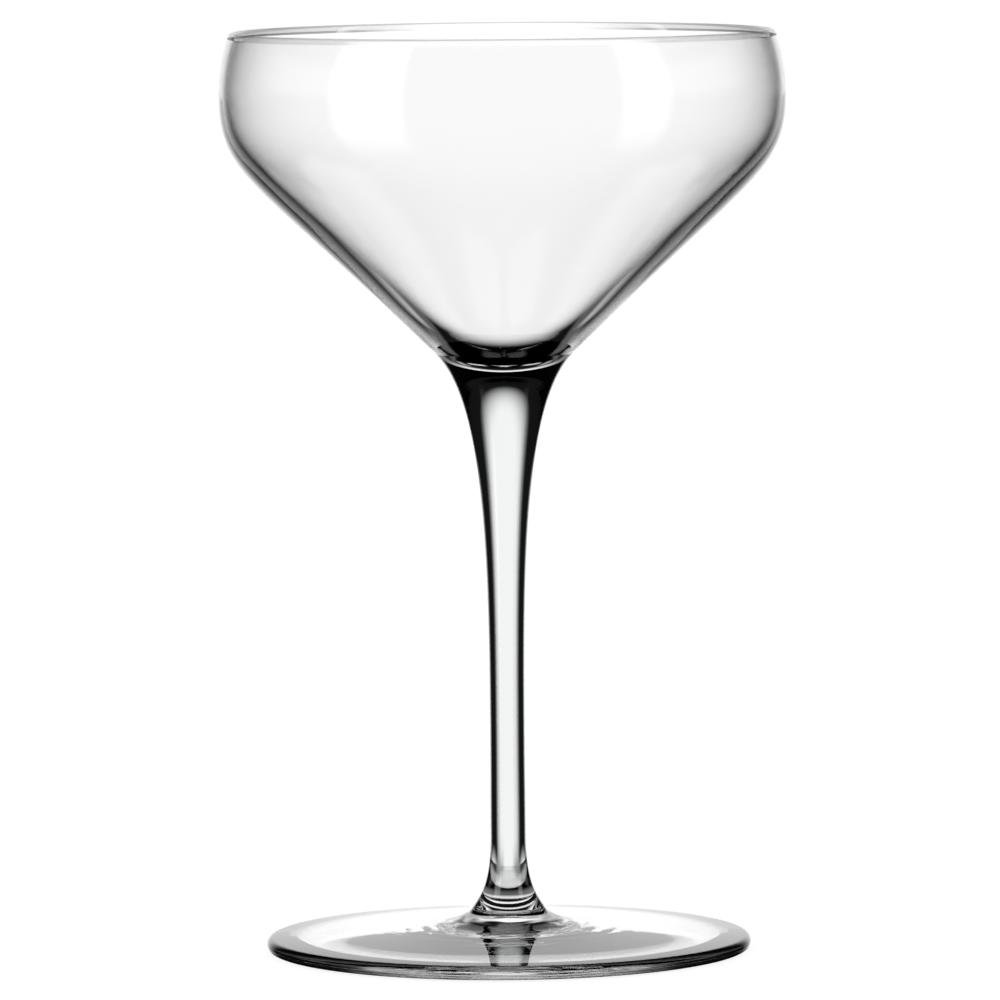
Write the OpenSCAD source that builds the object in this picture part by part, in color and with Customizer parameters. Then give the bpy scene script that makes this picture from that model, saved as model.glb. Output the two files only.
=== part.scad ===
// Coupe glass: a blown bowl, a drawn stem and a pressed foot, fused together at two welds.
// All sizes are in millimetres. The origin is the middle of the ring that the foot stands on,
// +Z is up, and every piece is turned about the Z axis.

/* [Bowl] */
// Widest outside diameter of the bowl, at its shoulder
bowl_d = 102.4; // [92:0.2:116]
// Height of the bowl from the weld circle at its base to the top of the lip
bowl_h = 58.3; // [50:0.1:70]
// Distance from the top of the lip down to the widest place
widest_drop = 11.4; // [8:0.2:16]
// Outside radius of the wall's curve between the widest place and the lip
wall_curve_r = 34; // [28:1:100]
// How far the shoulder keeps the upright direction of the widest place
shoulder_pull = 14.6; // [8:0.2:20]
// How far the cone keeps its lean above the weld circle
cone_pull = 46; // [36:0.5:50]
// Lean of the cone at the weld circle, from the axis
cone_lean = 45.3; // [40:0.1:50]
// Thickness of the lip, which is melted round
lip_wall = 1.2; // [0.8:0.1:2]
// Thickness of the wall at the widest place
side_wall = 1.1; // [0.8:0.1:2]
// Thickness of the wall at the weld circle, to which it grows evenly from the widest place
cone_wall = 3.5; // [2.4:0.1:4]
// Share of the way up from the weld circle at which the inside leaves the cone for its bottom
bottom_share = 0.09; // [0.04:0.01:0.15]
// Share of the way from there to the bottom's level for which the inside keeps the cone's direction
bottom_keep = 0.6; // [0.3:0.05:0.8]
// Thickness of the glass on the axis, from the inside bottom to the stem's dish
base_wall = 2.8; // [2:0.1:4]

/* [Stem] */
// Diameter of the weld circle, where the flared top of the stem meets the bowl
bowl_weld_d = 25; // [20:0.2:30]
// Depth of the dish in the stem's top that the base of the bowl fills
dish_depth = 3.8; // [2:0.1:5]
// Length of the stem from the boss of the foot to the weld circle
stem_len = 100.9; // [80:0.1:120]
// Diameter of the stem at its waist
waist_d = 6.3; // [5:0.1:9]
// Height of the waist above the boss of the foot
waist_h = 32.4; // [28:0.2:45]
// Diameter of the shaft below the waist, down to the lower flare
shaft_d = 6.4; // [5:0.1:9]
// Height of the lower flare above the boss of the foot
lower_flare_h = 13; // [8:0.2:20]
// How far the upper flare keeps the waist's direction
waist_pull = 31.4; // [25:0.2:40]
// How far the upper flare keeps the lean of the bowl's cone, into which it flows
flare_pull = 12.4; // [6:0.2:16]
// How far the lower flare keeps the shaft's direction
shaft_pull = 9; // [5:0.5:10]
// How far the lower flare keeps its direction at the foot
spread_pull = 2.25; // [1:0.25:3]
// Lean of the lower flare where it meets the foot, from the axis
spread_lean = 31; // [20:1:45]

/* [Foot] */
// Diameter of the foot
foot_d = 88; // [76:0.5:100]
// Thickness of the foot's rounded edge
edge_h = 2.5; // [1.6:0.1:3]
// Clearance under the rounded edge, outside the ring that the foot stands on
edge_lift = 0.3; // [0.1:0.1:0.6]
// Diameter of the weld between the stem and the boss of the foot
foot_weld_d = 13; // [11:0.2:16]
// Height of the boss that carries the stem
boss_h = 7.9; // [6.5:0.1:9]
// Diameter at which the fillet round the boss runs out on to the disc
fillet_d = 32; // [24:0.5:44]
// Height of the disc at the end of that fillet
disc_h = 4.9; // [3.8:0.1:5.4]
// How far the fillet keeps the lower flare's direction
boss_pull = 1.6; // [0.6:0.1:2]
// How far the fillet keeps the disc's direction
disc_pull = 6; // [3:0.5:8]
// Outside diameter of the flat ring that the foot stands on
ring_d = 80; // [70:0.5:82]
// Width of that ring
ring_w = 2; // [1:0.25:4]
// Depth of the hollow in the middle of the underside
hollow_h = 1.4; // [0.6:0.1:2]

/* [Hidden] */
// Steps in each rounded stretch of an outline
steps = 24;
$fn = 96;

// Heights of the two welds, the widest place and the top of the lip
weld_z = boss_h + stem_len;
lip_z = weld_z + bowl_h;
widest_z = lip_z - widest_drop;

// The stem's dish is part of a ball, and the base of the bowl is the same part of it
bowl_weld_r = bowl_weld_d / 2;
dish_r = (bowl_weld_r * bowl_weld_r + dish_depth * dish_depth) / (2 * dish_depth);
dish_centre = [0, weld_z - dish_depth + dish_r];
dish_half_angle = asin(bowl_weld_r / dish_r);
inside_bottom_z = weld_z - dish_depth + base_wall;

// Unit vector at an angle up from the outward direction
function heading(angle) = [cos(angle), sin(angle)];

// Unit vector that leans out from the axis by an angle, upwards
function leaning(angle) = [sin(angle), cos(angle)];

// Points of an arc about a centre, from one angle to another
function arc(centre, radius, from, to) =
    [for (i = [0:steps]) centre + radius * heading(from + (to - from) * i / steps)];

// Point of a smooth curve that leaves a towards b and comes into d from c, at a share of the way
function along(a, b, c, d, share) =
    let (t = share, s = 1 - share)
        s * s * s * a + 3 * s * s * t * b + 3 * s * t * t * c + t * t * t * d;

// Points of such a curve
function curve(a, b, c, d) = [for (i = [0:steps]) along(a, b, c, d, i / steps)];

// Unit vector square to such a curve, on its right
function beside(a, b, c, d, share) =
    let (t = share, s = 1 - share, way = s * s * (b - a) + 2 * s * t * (c - b) + t * t * (d - c))
        [way[1], -way[0]] / norm(way);

// A list without its first point, for a stretch that starts where the last one ended
function tail(points) = [for (i = [1:len(points) - 1]) points[i]];

// Outside of the bowl, from the bottom of its base to the top of its wall
widest = [bowl_d / 2, widest_z];
wall_centre = widest - [wall_curve_r, 0];
lip_r = lip_wall / 2;
wall_angle = asin((widest_drop - lip_r) / (wall_curve_r - lip_r));
weld_point = [bowl_weld_r, weld_z];
cone_end = weld_point + cone_pull * leaning(cone_lean);
shoulder_end = widest - [0, shoulder_pull];
bowl_outside = concat(
    arc(dish_centre, dish_r, -90, dish_half_angle - 90),
    tail(curve(weld_point, cone_end, shoulder_end, widest)),
    tail(arc(wall_centre, wall_curve_r, 0, wall_angle))
);

// The lip is half a circle across the wall's end
lip_centre = wall_centre + (wall_curve_r - lip_r) * heading(wall_angle);
lip = tail(arc(lip_centre, lip_r, wall_angle, wall_angle + 180));

// Inside of the bowl, from the lip to the inside bottom
lip_inside = lip_centre - lip_r * heading(wall_angle);
inside_d = bowl_d - 2 * side_wall;
inside_draw = inside_d / 2 - lip_inside[0];
inside_rise = lip_inside[1] - widest_z;
inside_curve_r = (inside_rise * inside_rise + inside_draw * inside_draw) / (2 * inside_draw);
inside_curve_centre = [inside_d / 2 - inside_curve_r, widest_z];

// Point of the inside across the wall from a share of the way up the cone and shoulder
function across(share) =
    let (
        point = along(weld_point, cone_end, shoulder_end, widest, share),
        wall = side_wall + (cone_wall - side_wall) * (widest_z - point[1]) / (widest_z - weld_z)
    )
        point - wall * beside(weld_point, cone_end, shoulder_end, widest, share);

inside_slope = [for (i = [0:steps]) across(1 - (1 - bottom_share) * i / steps)];

// The cone's line runs on to a corner at the bottom's level, and a curve rounds that corner off
bottom_start = inside_slope[steps];
bottom_way = bottom_start - inside_slope[steps - 1];
bottom_corner = bottom_start + bottom_way * (inside_bottom_z - bottom_start[1]) / bottom_way[1];
inside_bottom = curve(
    bottom_start,
    bottom_start + bottom_keep * (bottom_corner - bottom_start),
    bottom_corner,
    [0, inside_bottom_z]
);
bowl_inside = concat(
    tail(arc(inside_curve_centre, inside_curve_r, asin(inside_rise / inside_curve_r), 0)),
    tail(inside_slope),
    tail(inside_bottom)
);

module bowl() {
    color("whitesmoke", 0.35)
        rotate_extrude()
            polygon(concat(bowl_outside, lip, bowl_inside));
}

// Outside of the stem, from the boss up to the weld circle, where the bowl's cone takes over
foot_weld = [foot_weld_d / 2, boss_h];
flare_end = [shaft_d / 2, boss_h + lower_flare_h];
waist = [waist_d / 2, boss_h + waist_h];
half_taper = [0, (waist[1] - flare_end[1]) / 2];
stem_outside = concat(
    curve(
        foot_weld,
        foot_weld + spread_pull * leaning(-spread_lean),
        flare_end - [0, shaft_pull],
        flare_end
    ),
    tail(curve(flare_end, flare_end + half_taper, waist - half_taper, waist)),
    tail(curve(waist, waist + [0, waist_pull], weld_point - flare_pull * leaning(cone_lean), weld_point))
);
stem_dish = tail(arc(dish_centre, dish_r, dish_half_angle - 90, -90));

module stem() {
    color("gainsboro", 0.35)
        rotate_extrude()
            polygon(concat([[0, boss_h]], stem_outside, stem_dish));
}

// Outline of the foot: hollow underside, ring, rounded edge, disc and the fillet up to the boss
ring_outside = [ring_d / 2, 0];
ring_inside = ring_outside - [ring_w, 0];
hollow_r = (ring_inside[0] * ring_inside[0] + hollow_h * hollow_h) / (2 * hollow_h);
hollow_centre = [0, hollow_h - hollow_r];
hollow_half_angle = asin(ring_inside[0] / hollow_r);
edge_r = edge_h / 2;
edge_centre = [foot_d / 2 - edge_r, edge_lift + edge_r];
fillet_end = [fillet_d / 2, disc_h];
disc_slope = atan2(disc_h - edge_lift - edge_h, edge_centre[0] - fillet_end[0]);
fillet = curve(
    fillet_end,
    fillet_end + disc_pull * heading(180 - disc_slope),
    foot_weld - boss_pull * leaning(-spread_lean),
    foot_weld
);
foot_outline = concat(
    arc(hollow_centre, hollow_r, 90, 90 - hollow_half_angle),
    [ring_outside],
    arc(edge_centre, edge_r, -90, 90 - disc_slope),
    fillet,
    [[0, boss_h]]
);

module foot() {
    color("lightgray", 0.35)
        rotate_extrude()
            polygon(foot_outline);
}

bowl();
stem();
foot();
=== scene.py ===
"""Coupe glass of clear crystal: a blown bowl, a drawn stem and a pressed foot, in a white studio."""

import math

import bpy
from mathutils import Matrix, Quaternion, Vector


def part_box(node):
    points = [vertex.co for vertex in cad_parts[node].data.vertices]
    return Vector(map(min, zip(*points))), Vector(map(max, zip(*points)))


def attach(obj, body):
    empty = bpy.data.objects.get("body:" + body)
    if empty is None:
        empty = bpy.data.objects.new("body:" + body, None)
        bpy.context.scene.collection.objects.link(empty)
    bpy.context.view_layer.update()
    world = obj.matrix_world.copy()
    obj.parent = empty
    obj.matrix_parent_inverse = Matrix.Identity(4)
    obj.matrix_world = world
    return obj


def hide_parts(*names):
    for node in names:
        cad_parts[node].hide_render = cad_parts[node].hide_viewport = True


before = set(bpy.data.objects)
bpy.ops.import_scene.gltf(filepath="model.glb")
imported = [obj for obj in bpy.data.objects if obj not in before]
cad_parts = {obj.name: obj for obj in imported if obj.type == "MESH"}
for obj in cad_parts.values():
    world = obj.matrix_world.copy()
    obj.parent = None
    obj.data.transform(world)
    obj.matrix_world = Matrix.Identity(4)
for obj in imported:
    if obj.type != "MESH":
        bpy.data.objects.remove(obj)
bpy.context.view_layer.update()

# Sizes are in millimetres until a piece is drawn, and Blender's unit is the metre.
MM = 0.001


def measured(node):
    """Outside radius, lowest and highest level of a turned node, in millimetres."""
    low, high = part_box(node)
    return (high.x - low.x) / 2 / MM, low.z / MM, high.z / MM


BOWL_R, _, LIP_Z = measured("bowl")
BOWL_WELD_R, _, WELD_Z = measured("stem")
FOOT_R, _, BOSS_Z = measured("foot")

# Bowl
WIDEST_Z = LIP_Z - 11.4
WALL_CURVE_R = 34.0
SHOULDER_PULL = 14.6
CONE_PULL = 46.0
CONE_LEAN = 45.3
LIP_R = 0.6
SIDE_WALL = 1.1
CONE_WALL = 3.5
BOTTOM_SHARE = 0.09
BOTTOM_KEEP = 0.6
BASE_WALL = 2.8
DISH_DEPTH = 3.8

# Stem
WAIST_R = 3.15
WAIST_Z = BOSS_Z + 32.4
SHAFT_R = 3.2
LOWER_FLARE_Z = BOSS_Z + 13.0
WAIST_PULL = 31.4
FLARE_PULL = 12.4
SHAFT_PULL = 9.0
SPREAD_PULL = 2.25
SPREAD_LEAN = 31.0
FOOT_WELD_R = 6.5

# Foot
EDGE_R = 1.25
EDGE_LIFT = 0.3
FILLET_R = 16.0
DISC_Z = 4.9
BOSS_PULL = 1.6
DISC_PULL = 6.0
RING_R = 40.0
RING_W = 2.0
HOLLOW_Z = 1.4

# How finely the pieces are turned, and how close two points are to be one
TURNS = 256
SAME_PLACE = 0.001
CREASE_ANGLE = math.radians(25)

# Longest step beside a corner that keeps a straight line straight in the shading
LONGEST_GUARD = 0.4

# How near to a weld the middle of a face lies to be part of it
WELD_REACH = 0.05

# How strongly crystal bends the light
CRYSTAL_IOR = 1.52

# Side of the studio's floor, in metres
FLOOR_SIDE = 40.0

# Photograph: 1000 pixels square, with the glass leaning a little and standing right of the middle
PHOTO_SIDE = 1000
PIXELS_PER_MM = 5.52
AXIS_RIGHT_OF_MIDDLE = 5.5
LEAN = math.radians(0.47)
CAMERA_DISTANCE = 1634.0
CAMERA_Z = 219.3
AIM_Z = 82.1


# Outlines

def heading(angle):
    """Unit vector at an angle in degrees up from the outward direction."""
    return Vector((math.cos(math.radians(angle)), math.sin(math.radians(angle))))


def leaning(angle):
    """Unit vector that leans out from the axis by an angle in degrees, upwards."""
    return Vector((math.sin(math.radians(angle)), math.cos(math.radians(angle))))


def arc(centre, radius, start, end, steps):
    """Points of an arc about a centre, from one angle to another."""
    centre = Vector(centre)
    return [centre + radius * heading(start + (end - start) * i / steps) for i in range(steps + 1)]


def along(a, b, c, d, share):
    """Point of a smooth curve that leaves a towards b and comes into d from c, at a share of the way."""
    rest = 1 - share
    return rest**3 * a + 3 * rest**2 * share * b + 3 * rest * share**2 * c + share**3 * d


def beside(a, b, c, d, share):
    """Unit vector square to such a curve, on its right."""
    rest = 1 - share
    way = rest**2 * (b - a) + 2 * rest * share * (c - b) + share**2 * (d - c)
    return Vector((way.y, -way.x)).normalized()


def curve(a, b, c, d, steps):
    """Points of such a curve."""
    return [along(a, b, c, d, i / steps) for i in range(steps + 1)]


def joined(*stretches):
    """One outline from stretches that follow each other; straight lines stay straight up to their ends."""
    outline = []
    for stretch in stretches:
        points = [Vector(p) for p in stretch]
        if outline and (points[0] - outline[-1]).length < SAME_PLACE:
            points = points[1:]
        elif outline:
            step = points[0] - outline[-1]
            guard = min(LONGEST_GUARD, step.length / 4) * step.normalized()
            outline += [outline[-1] + guard, points[0] - guard]
        outline += points
    return outline


DISH_BALL_R = (BOWL_WELD_R**2 + DISH_DEPTH**2) / (2 * DISH_DEPTH)
DISH_CENTRE = Vector((0, WELD_Z - DISH_DEPTH + DISH_BALL_R))
DISH_ANGLE = math.degrees(math.asin(BOWL_WELD_R / DISH_BALL_R))
WELD_POINT = Vector((BOWL_WELD_R, WELD_Z))
FOOT_WELD = Vector((FOOT_WELD_R, BOSS_Z))
WIDEST = Vector((BOWL_R, WIDEST_Z))
CONE_END = WELD_POINT + CONE_PULL * leaning(CONE_LEAN)
SLOPE = (WELD_POINT, CONE_END, WIDEST - Vector((0, SHOULDER_PULL)), WIDEST)


def across(share):
    """Point of the bowl's inside across the wall, which thickens evenly down to the weld."""
    point = along(*SLOPE, share)
    thicker = (CONE_WALL - SIDE_WALL) * (WIDEST_Z - point.y) / (WIDEST_Z - WELD_Z)
    return point - (SIDE_WALL + thicker) * beside(*SLOPE, share)


def bowl_outline():
    """Base, cone, shoulder, wall and lip outside, then the same inside down to the rounded bottom."""
    wall = WIDEST - Vector((WALL_CURVE_R, 0))
    wall_angle = math.degrees(math.asin((LIP_Z - LIP_R - WIDEST_Z) / (WALL_CURVE_R - LIP_R)))
    lip = wall + (WALL_CURVE_R - LIP_R) * heading(wall_angle)
    lip_inside = lip - LIP_R * heading(wall_angle)
    inside_r = BOWL_R - SIDE_WALL
    draw = inside_r - lip_inside.x
    rise = lip_inside.y - WIDEST_Z
    inside_curve_r = (rise**2 + draw**2) / (2 * draw)
    inside_wall_angle = math.degrees(math.asin(rise / inside_curve_r))
    inside_slope = [across(1 - (1 - BOTTOM_SHARE) * i / 64) for i in range(65)]
    start = inside_slope[-1]
    way = start - inside_slope[-2]
    bottom = Vector((0, WELD_Z - DISH_DEPTH + BASE_WALL))
    corner = start + way * (bottom.y - start.y) / way.y
    return joined(
        arc(DISH_CENTRE, DISH_BALL_R, -90, DISH_ANGLE - 90, 12),
        curve(*SLOPE, 64),
        arc(wall, WALL_CURVE_R, 0, wall_angle, 16),
        arc(lip, LIP_R, wall_angle, wall_angle + 180, 16),
        arc((inside_r - inside_curve_r, WIDEST_Z), inside_curve_r, inside_wall_angle, 0, 16),
        inside_slope,
        curve(start, start.lerp(corner, BOTTOM_KEEP), corner, bottom, 48),
    )


def stem_outline():
    """Lower end, lower flare, shaft, waist and upper flare, then the dish that takes the bowl."""
    flare_end = Vector((SHAFT_R, LOWER_FLARE_Z))
    waist = Vector((WAIST_R, WAIST_Z))
    half = Vector((0, (WAIST_Z - LOWER_FLARE_Z) / 2))
    flare_pulled = WELD_POINT - FLARE_PULL * leaning(CONE_LEAN)
    return joined(
        [(0, BOSS_Z), FOOT_WELD],
        curve(
            FOOT_WELD,
            FOOT_WELD + SPREAD_PULL * leaning(-SPREAD_LEAN),
            flare_end - Vector((0, SHAFT_PULL)),
            flare_end,
            32,
        ),
        curve(flare_end, flare_end + half, waist - half, waist, 12),
        curve(waist, waist + Vector((0, WAIST_PULL)), flare_pulled, WELD_POINT, 48),
        arc(DISH_CENTRE, DISH_BALL_R, DISH_ANGLE - 90, -90, 12),
    )


def foot_outline():
    """Hollow underside, ring, rounded edge, disc, and the fillet up to the boss."""
    ring_inside = RING_R - RING_W
    hollow_r = (ring_inside**2 + HOLLOW_Z**2) / (2 * HOLLOW_Z)
    hollow_angle = math.degrees(math.asin(ring_inside / hollow_r))
    edge = (FOOT_R - EDGE_R, EDGE_LIFT + EDGE_R)
    fillet_end = Vector((FILLET_R, DISC_Z))
    slope = math.degrees(math.atan2(DISC_Z - EDGE_LIFT - 2 * EDGE_R, edge[0] - FILLET_R))
    return joined(
        arc((0, HOLLOW_Z - hollow_r), hollow_r, 90, 90 - hollow_angle, 48),
        [(RING_R, 0)],
        arc(edge, EDGE_R, -90, 90 - slope, 24),
        curve(
            fillet_end,
            fillet_end + DISC_PULL * heading(180 - slope),
            FOOT_WELD - BOSS_PULL * leaning(-SPREAD_LEAN),
            FOOT_WELD,
            32,
        ),
        [(0, BOSS_Z)],
    )


# Pieces

def turned_piece(name, outline):
    """Draws an outline by extruding one point along it, and spins it about the axis into a closed solid."""
    bpy.ops.object.select_all(action="DESELECT")
    bpy.ops.mesh.primitive_plane_add(size=MM)
    piece = bpy.context.object
    piece.name = name
    piece.data.name = name
    bpy.ops.object.mode_set(mode="EDIT")
    bpy.ops.mesh.select_all(action="SELECT")
    bpy.ops.mesh.merge(type="CENTER")
    place = Vector((0, 0))
    for number, point in enumerate(outline):
        step = (point - place) * MM
        move = (step.x, 0, step.y)
        if number == 0:
            bpy.ops.transform.translate(value=move)
        else:
            bpy.ops.mesh.extrude_region_move(TRANSFORM_OT_translate={"value": move})
        place = point
    bpy.ops.mesh.select_all(action="SELECT")
    bpy.ops.mesh.spin(steps=TURNS, angle=math.tau, center=(0, 0, 0), axis=(0, 0, 1))
    bpy.ops.mesh.select_all(action="SELECT")
    bpy.ops.mesh.remove_doubles(threshold=SAME_PLACE * MM)
    bpy.ops.mesh.normals_make_consistent(inside=False)
    bpy.ops.object.mode_set(mode="OBJECT")
    bpy.ops.object.shade_smooth_by_angle(angle=CREASE_ANGLE)
    return piece


def on_bowl_weld(centre):
    """Whether a face lies on the dish between bowl and stem."""
    radius = math.hypot(centre.x, centre.y) / MM
    from_ball = (Vector((radius, centre.z / MM)) - DISH_CENTRE).length - DISH_BALL_R
    return radius < BOWL_WELD_R and abs(from_ball) < WELD_REACH


def on_foot_weld(centre):
    """Whether a face lies on the flat seat between stem and foot."""
    radius = math.hypot(centre.x, centre.y) / MM
    return radius < FOOT_WELD_R and abs(centre.z / MM - BOSS_Z) < WELD_REACH


def on_lip(centre):
    """Whether a face lies on the rounded lip."""
    return centre.z / MM > LIP_Z - 2 * LIP_R


def finish_piece(piece, node, glass, lip, welds):
    """Gives a piece its glass, with clear faces where it is fused that paint light black, as painted shade,
    once it was mirrored too often, and sets it in the place of its node.
    """
    for material in (glass, lip, *welds):
        piece.data.materials.append(material)
    for face in piece.data.polygons:
        for slot, found in enumerate((on_lip, on_bowl_weld, on_foot_weld), 1):
            if found(face.center):
                face.material_index = slot
    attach(piece, "root")
    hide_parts(node)


# Materials

def linear(colour):
    """Linear colour from an sRGB hex value."""
    parts = [int(colour[i:i + 2], 16) / 255 for i in (1, 3, 5)]
    return [c / 12.92 if c <= 0.04045 else ((c + 0.055) / 1.055) ** 2.4 for c in parts] + [1.0]


def add_node(tree, kind, inputs=None, **settings):
    """Adds a node with its settings; each input is a value, or another node's output to link."""
    made = tree.nodes.new(kind)
    for name, value in settings.items():
        setattr(made, name, value)
    for name, value in (inputs or {}).items():
        if isinstance(value, bpy.types.NodeSocket):
            tree.links.new(value, made.inputs[name])
        else:
            made.inputs[name].default_value = value
    return made


def new_material(name):
    """An empty node material and its tree."""
    material = bpy.data.materials.new(name)
    material.use_nodes = True
    material.node_tree.nodes.clear()
    return material, material.node_tree


def sum_node(tree, operation, *values):
    """One step of reckoning with numbers or outputs."""
    return add_node(tree, "ShaderNodeMath", dict(enumerate(values)), operation=operation).outputs[0]


def fade(tree, length, dark, light):
    """Rises smoothly from 0 to 1 between two lengths in millimetres."""
    made = add_node(
        tree,
        "ShaderNodeMapRange",
        {"Value": length, "From Min": dark * MM, "From Max": light * MM},
        interpolation_type="SMOOTHSTEP",
    )
    return made.outputs[0]


def blown_waves(tree, place):
    """Slow waves of blown glass, about 20 mm long."""
    noise = {"Vector": place, "Scale": 1 / (20 * MM), "Detail": 1.0}
    return add_node(tree, "ShaderNodeTexNoise", noise).outputs[0]


def drawn_streaks(tree, place):
    """Streaks of drawn glass, about 2 mm apart and thirty times as long as they are wide."""
    drawn = add_node(tree, "ShaderNodeVectorMath", {0: place, 1: (1, 1, 1 / 30)}, operation="MULTIPLY")
    noise = {"Vector": drawn.outputs[0], "Scale": 1 / (2 * MM), "Detail": 1.0}
    return add_node(tree, "ShaderNodeTexNoise", noise).outputs[0]


def pressed_ripples(tree, place):
    """Rings about 3.5 mm apart that pressing left round the boss, and that die out by 26 mm from the axis."""
    flat = add_node(tree, "ShaderNodeVectorMath", {0: place, 1: (1, 1, 0)}, operation="MULTIPLY")
    radius = add_node(tree, "ShaderNodeVectorMath", {0: flat.outputs[0]}, operation="LENGTH").outputs["Value"]
    noise = {"Vector": place, "Scale": 1 / (8 * MM), "Detail": 1.0}
    stray = add_node(tree, "ShaderNodeTexNoise", noise).outputs[0]
    stray = sum_node(tree, "MULTIPLY", stray, 9.0)
    turn = sum_node(tree, "MULTIPLY_ADD", radius, math.tau / (3.5 * MM), stray)
    ring = sum_node(tree, "SINE", turn)
    return sum_node(tree, "MULTIPLY", ring, fade(tree, radius, 26, 12))


def crystal_glass(name, relief, depth, mirrored, tint="#ffffff", straight=0.0):
    """Clear crystal, melted smooth: it bends the light, and its fine relief makes the light waver.

    Its colour is painted black for light that was mirrored inside more often than the given number of times:
    painted shade that stands for the dark the glass shows there. A share of the light can go straight on.
    """
    material, tree = new_material(name)
    place = add_node(tree, "ShaderNodeTexCoord").outputs["Object"]
    # Painted shade: the colour turns black once light was mirrored inside more often than the given number of
    # times
    mirrors = add_node(tree, "ShaderNodeLightPath").outputs["Glossy Depth"]
    clear = sum_node(tree, "LESS_THAN", mirrors, mirrored + 0.5)
    colour = add_node(
        tree, "ShaderNodeMix", {0: clear, 6: linear("#000000"), 7: linear(tint)}, data_type="RGBA"
    ).outputs[2]
    bump = add_node(tree, "ShaderNodeBump", {"Height": relief(tree, place), "Distance": depth * MM})
    shader = add_node(
        tree,
        "ShaderNodeBsdfPrincipled",
        {
            "Base Color": colour,
            "Roughness": 0.0,
            "IOR": CRYSTAL_IOR,
            "Transmission Weight": 1.0,
            "Normal": bump.outputs[0],
        },
    ).outputs[0]
    if straight:
        past = add_node(tree, "ShaderNodeBsdfTransparent").outputs[0]
        shader = add_node(tree, "ShaderNodeMixShader", {0: straight, 1: shader, 2: past}).outputs[0]
    add_node(tree, "ShaderNodeOutputMaterial", {"Surface": shader})
    return material


def fused_weld(name, mirrored):
    """Glass melted into glass: light goes straight through, and is painted black, as painted shade, once it
    was mirrored too often on its way.
    """
    material, tree = new_material(name)
    # Painted shade: light mirrored more often than the given number of times is turned black here
    mirrors = add_node(tree, "ShaderNodeLightPath").outputs["Glossy Depth"]
    clear = sum_node(tree, "LESS_THAN", mirrors, mirrored + 0.5)
    shader = add_node(tree, "ShaderNodeBsdfTransparent", {"Color": clear})
    add_node(tree, "ShaderNodeOutputMaterial", {"Surface": shader.outputs[0]})
    return material


# Studio

def glow(tree, aside, elevation, level, centre, half_width, above, below):
    """A soft round glow on the studio's walls, on both sides of the middle, with angles in degrees."""
    across = sum_node(tree, "SUBTRACT", aside, math.radians(centre[0]))
    across = sum_node(tree, "DIVIDE", across, math.radians(half_width))
    height = sum_node(tree, "SUBTRACT", elevation, math.radians(centre[1]))
    upper = sum_node(tree, "DIVIDE", height, math.radians(above))
    lower = sum_node(tree, "DIVIDE", height, -math.radians(below))
    height = sum_node(tree, "MAXIMUM", upper, lower)
    both = add_node(tree, "ShaderNodeCombineXYZ", {0: across, 1: height})
    away = add_node(tree, "ShaderNodeVectorMath", {0: both.outputs[0]}, operation="LENGTH")
    light = add_node(
        tree,
        "ShaderNodeMapRange",
        {"Value": away.outputs["Value"], "From Min": 0.5, "From Max": 1.35, "To Min": level, "To Max": 0.0},
        interpolation_type="SMOOTHSTEP",
    )
    return light.outputs[0]


def ramp(tree, angle, levels):
    """Brightness by angle, from pairs of degrees and level, with straight runs between."""
    first, last = levels[0][0], levels[-1][0]
    share = add_node(
        tree,
        "ShaderNodeMapRange",
        {"Value": angle, "From Min": math.radians(first), "From Max": math.radians(last)},
    )
    made = add_node(tree, "ShaderNodeValToRGB", {"Fac": share.outputs[0]})
    stops = made.color_ramp.elements
    while len(stops) < len(levels):
        stops.new(0.5)
    for stop, (degrees, level) in zip(stops, levels):
        stop.position = (degrees - first) / (last - first)
        stop.color = (level, level, level, 1)
    return made.outputs["Color"]


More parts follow.
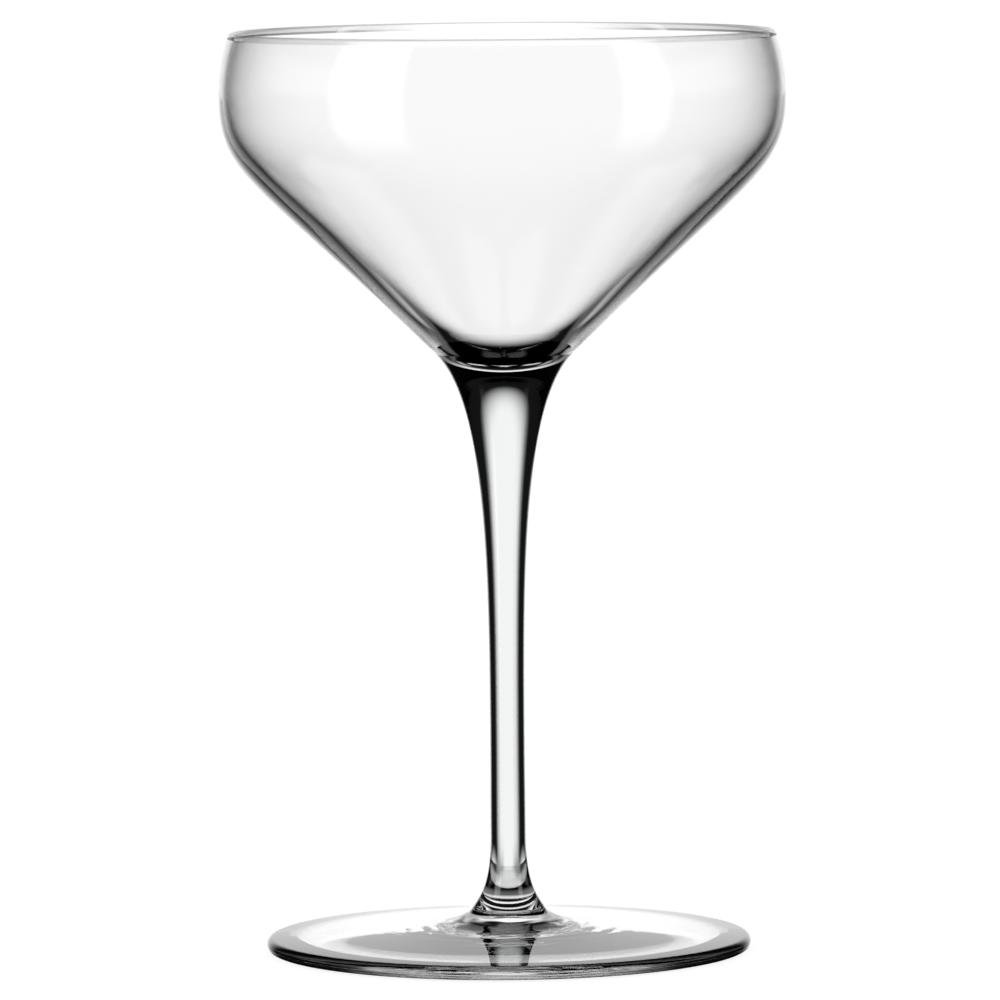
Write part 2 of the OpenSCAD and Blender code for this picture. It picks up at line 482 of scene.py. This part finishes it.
def studio_world():
    """White to the eye. The glass sees soft glows on dark walls, a dim fill and two bright boxes in front."""
    world = bpy.data.worlds.new("white_studio")
    bpy.context.scene.world = world
    world.use_nodes = True
    tree = world.node_tree
    tree.nodes.clear()
    direction = add_node(tree, "ShaderNodeTexCoord").outputs["Generated"]
    axes = add_node(tree, "ShaderNodeSeparateXYZ", {0: direction})
    azimuth = sum_node(tree, "ARCTAN2", axes.outputs[0], axes.outputs[1])
    aside = sum_node(tree, "ABSOLUTE", azimuth)
    elevation = sum_node(tree, "ARCSINE", axes.outputs[2])
    path = add_node(tree, "ShaderNodeLightPath")
    mirrors = path.outputs["Glossy Depth"]
    walls = path.outputs["Transmission Depth"]
    # Light is told apart by what it met on its way: mirrored or not, and through how much glass.
    unmirrored = sum_node(tree, "LESS_THAN", mirrors, 0.5)
    outside = sum_node(tree, "LESS_THAN", walls, 0.5)
    one_wall = sum_node(tree, "LESS_THAN", walls, 2.5)
    wall_passed = sum_node(tree, "MULTIPLY", one_wall, unmirrored)
    wall_mirrored = sum_node(tree, "SUBTRACT", one_wall, sum_node(tree, "MAXIMUM", wall_passed, outside))
    plain = sum_node(tree, "MAXIMUM", one_wall, unmirrored)
    seen = sum_node(tree, "MULTIPLY", glow(tree, aside, elevation, 1.12, (0, 1.5), 26.5, 24, 24), plain)
    # Glows that are seen straight through the glass: behind it, to its sides and low at the corners
    for level, centre, half_width, above, below in (
        (1.12, (0, 1.5), 18, 21, 39),
        (1.0, (90, -2), 26, 16, 50),
        (0.95, (45, -25), 20, 12, 60),
        (0.95, (135, -15), 26, 12, 60),
    ):
        light = glow(tree, aside, elevation, level, centre, half_width, above, below)
        light = sum_node(tree, "MULTIPLY", light, unmirrored)
        seen = sum_node(tree, "MAXIMUM", seen, light)
    front = [(-45, 0), (-8, 1), (36, 1), (44, 0)]
    table_behind = [(-88, 0), (-80, 1), (-28, 1), (-20, 0)]
    table_beside = [(-62, 0), (-56, 1), (-42, 1), (-38, 0)]
    table_edge = [(-34, 0), (-31, 1), (-27, 1), (-24, 0)]
    table_front = [(-48, 0), (-45, 1), (-39, 1), (-35, 0)]
    low_beside = [(-1, 0), (3, 1), (12, 1), (18, 0)]
    everywhere = [(-60, 0), (-45, 1), (60, 1), (75, 0)]
    # Two boxes in front, lit parts of the table, a low light at the sides and the dim fill
    for angle, across, up, level, rays in (
        (azimuth, [(-141, 0), (-136, 1), (-110, 1), (-104, 0)], front, 3.0, outside),
        (azimuth, [(106, 0), (112, 1), (127, 1), (132, 0)], front, 2.4, outside),
        (aside, [(0, 1), (12, 1), (20, 0)], table_behind, 0.6, wall_passed),
        (aside, [(22, 0), (29, 1), (60, 1), (75, 0)], table_beside, 0.9, wall_mirrored),
        (aside, [(14, 0), (18, 1), (24, 1), (30, 0)], table_edge, 0.5, wall_mirrored),
        (aside, [(28, 0), (33, 1), (41, 1), (46, 0)], table_front, 0.8, outside),
        (aside, [(55, 0), (75, 1), (105, 1), (125, 0)], low_beside, 0.8, outside),
        (aside, [(0, 1), (180, 1)], everywhere, 0.008, None),
    ):
        box = sum_node(tree, "MULTIPLY", ramp(tree, angle, across), ramp(tree, elevation, up))
        if rays:
            box = sum_node(tree, "MULTIPLY", box, rays)
        seen = sum_node(tree, "MULTIPLY_ADD", box, level, seen)
    through = sum_node(
        tree, "MAXIMUM", path.outputs["Is Transmission Ray"], path.outputs["Is Glossy Ray"]
    )
    by_glass = add_node(tree, "ShaderNodeMix", {0: through, 2: 0.15, 3: seen})
    by_eye = add_node(
        tree, "ShaderNodeMix", {0: path.outputs["Is Camera Ray"], 2: by_glass.outputs[0], 3: 1.0}
    )
    light = add_node(
        tree, "ShaderNodeBackground", {"Color": linear("#ffffff"), "Strength": by_eye.outputs[0]}
    )
    add_node(tree, "ShaderNodeOutputWorld", {"Surface": light.outputs[0]})


def floor_material():
    """Matt white floor, nearly white of itself, with a little light from the studio to hold a shadow."""
    material, tree = new_material("white_floor")
    matt = add_node(tree, "ShaderNodeBsdfDiffuse", {"Color": linear("#f4f4f4")})
    own = add_node(tree, "ShaderNodeEmission", {"Strength": 0.9})
    both = add_node(tree, "ShaderNodeAddShader", {0: matt.outputs[0], 1: own.outputs[0]})
    add_node(tree, "ShaderNodeOutputMaterial", {"Surface": both.outputs[0]})
    return material


def painted_table_light_material():
    """Painted light on the table that shows through the foot: it glows pale inside the standing ring and is
    dark beyond it, as painted shade, with a painted band of light behind the stem and a painted strip of
    light in line with it that mirrored light shows too.
    """
    material, tree = new_material("painted_table_light")
    place = add_node(tree, "ShaderNodeTexCoord").outputs["Object"]
    axes = add_node(tree, "ShaderNodeSeparateXYZ", {0: place})
    back = axes.outputs[1]
    aside = sum_node(tree, "ABSOLUTE", axes.outputs[0])
    radius = add_node(tree, "ShaderNodeVectorMath", {0: place}, operation="LENGTH").outputs["Value"]
    path = add_node(tree, "ShaderNodeLightPath")
    mirrors = path.outputs["Glossy Depth"]
    walls = path.outputs["Transmission Depth"]
    # Painted light: a strip of glow in line with the stem
    strip = sum_node(tree, "MULTIPLY", fade(tree, aside, 11, 3), fade(tree, back, 4, 12))
    strip = sum_node(tree, "MULTIPLY", strip, sum_node(tree, "LESS_THAN", mirrors, 1.5))
    strip = sum_node(tree, "MULTIPLY", strip, 0.9)
    # Painted light: a band of glow behind the stem
    band = sum_node(tree, "MULTIPLY", fade(tree, back, 2, 10), fade(tree, back, 30, 20))
    band = sum_node(tree, "MULTIPLY", band, fade(tree, aside, 34, 24))
    band = sum_node(tree, "MULTIPLY", band, 0.55)
    behind = sum_node(tree, "MAXIMUM", strip, band)
    behind = sum_node(tree, "MULTIPLY", behind, sum_node(tree, "LESS_THAN", walls, 4.5))
    # Painted light inside the standing ring, and painted shade beyond it
    white = sum_node(tree, "MULTIPLY", fade(tree, radius, 40, 35), 0.75)
    white = sum_node(tree, "MULTIPLY", white, sum_node(tree, "LESS_THAN", walls, 2.5))
    white = sum_node(tree, "MULTIPLY", white, sum_node(tree, "LESS_THAN", mirrors, 0.5))
    own = add_node(tree, "ShaderNodeEmission", {"Strength": sum_node(tree, "MAXIMUM", behind, white)})
    add_node(tree, "ShaderNodeOutputMaterial", {"Surface": own.outputs[0]})
    return material


def studio_floor():
    """A wide floor for the eye and the shadow, and a round patch with painted light on it that shows only
    through the foot.
    """
    bpy.ops.object.select_all(action="DESELECT")
    bpy.ops.mesh.primitive_plane_add(size=FLOOR_SIDE)
    floor = bpy.context.object
    floor.name = "floor"
    floor.data.materials.append(floor_material())
    floor.visible_transmission = False
    floor.visible_glossy = False
    # A patch that only the glass sees, with painted light on it
    bpy.ops.mesh.primitive_circle_add(vertices=128, radius=FOOT_R * MM, fill_type="NGON")
    patch = bpy.context.object
    patch.name = "painted_light_under_foot"
    patch.data.materials.append(painted_table_light_material())
    patch.visible_camera = False
    patch.visible_diffuse = False
    patch.visible_shadow = False


def studio_camera():
    """The photograph's view: far off, a little above the lip, rolled by the photograph's lean."""
    data = bpy.data.cameras.new("camera")
    camera = bpy.data.objects.new("camera", data)
    bpy.context.scene.collection.objects.link(camera)
    place = Vector((0, -CAMERA_DISTANCE, CAMERA_Z)) * MM
    aim = Vector((-AXIS_RIGHT_OF_MIDDLE / PIXELS_PER_MM, 0, AIM_Z)) * MM
    sight = aim - place
    camera.location = place
    camera.rotation_mode = "QUATERNION"
    roll = Quaternion((0, 0, 1), -LEAN)
    camera.rotation_quaternion = sight.to_track_quat("-Z", "Y") @ roll
    across = PHOTO_SIDE / PIXELS_PER_MM * MM
    data.sensor_width = 36.0
    data.lens = data.sensor_width * sight.length / across
    data.clip_end = 100.0
    bpy.context.scene.camera = camera


# The numbers of inside mirrorings after which the welds and the lip, bowl, stem and foot glass paint light
# black: painted shade
welds = (fused_weld("bowl_weld", 3), fused_weld("foot_weld", 1))
lip = crystal_glass("lip_crystal", blown_waves, 0.02, 6, straight=0.6)
for node, outline, glass in (
    ("bowl", bowl_outline(), crystal_glass("bowl_crystal", blown_waves, 0.02, 1)),
    ("stem", stem_outline(), crystal_glass("stem_crystal", drawn_streaks, 0.002, 1, tint="#eff1f1")),
    ("foot", foot_outline(), crystal_glass("foot_crystal", pressed_ripples, 0.016, 6)),
):
    finish_piece(turned_piece(node + "_glass", outline), node, glass, lip, welds)

studio_world()
studio_floor()
studio_camera()

scene = bpy.context.scene
scene.view_settings.view_transform = "Standard"
scene.cycles.max_bounces = 32
scene.cycles.transmission_bounces = 32
scene.cycles.glossy_bounces = 8
scene.cycles.transparent_max_bounces = 32
